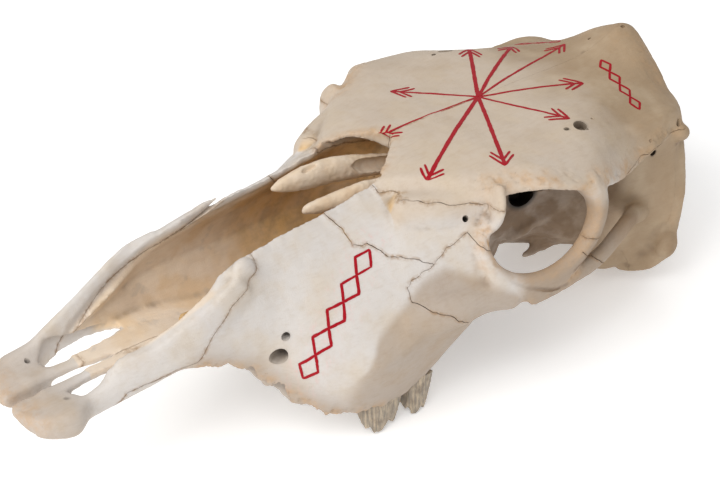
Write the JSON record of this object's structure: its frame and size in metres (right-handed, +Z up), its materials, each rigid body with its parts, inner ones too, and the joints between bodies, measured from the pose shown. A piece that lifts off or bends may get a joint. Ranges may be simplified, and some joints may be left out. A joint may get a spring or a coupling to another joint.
{
  "type": "cow skull",
  "caption": "Dry skull of a polled cow without its lower jaw, nasal bones missing, with red ornament on cheek and forehead, resting on its cheek teeth.",
  "frame": {"origin": "centre of the bounding box at the level that the skull rests on", "axes": "+Z up, -Y towards the muzzle, +X to the animal's left; the skull lies at rest with its muzzle tipped up"},
  "size_m": [0.2214, 0.4978, 0.1652],
  "materials": {
    "upper_jaw_bone": "matte",
    "forehead_bone": "matte",
    "rear_bone": "matte",
    "inner_bone": "matte",
    "tooth_enamel": "satin"
  },
  "bodies": {
    "root": {"incisive_left": "upper_jaw_bone", "incisive_right": "upper_jaw_bone", "maxilla_left": "upper_jaw_bone", "maxilla_right": "upper_jaw_bone", "lacrimal_left": "upper_jaw_bone", "lacrimal_right": "upper_jaw_bone", "zygomatic_left": "forehead_bone", "zygomatic_right": "forehead_bone", "frontal_left": "forehead_bone", "frontal_right": "forehead_bone", "palatine_left": "rear_bone", "palatine_right": "rear_bone", "temporal_left": "rear_bone", "temporal_right": "rear_bone", "second_molar_left": "tooth_enamel", "second_molar_right": "tooth_enamel", "third_molar_left": "tooth_enamel", "third_molar_right": "tooth_enamel", "turbinate_left": "inner_bone", "turbinate_right": "inner_bone", "braincase": "rear_bone", "occipital": "rear_bone", "vomer": "inner_bone"}
  },
  "joints": []
}
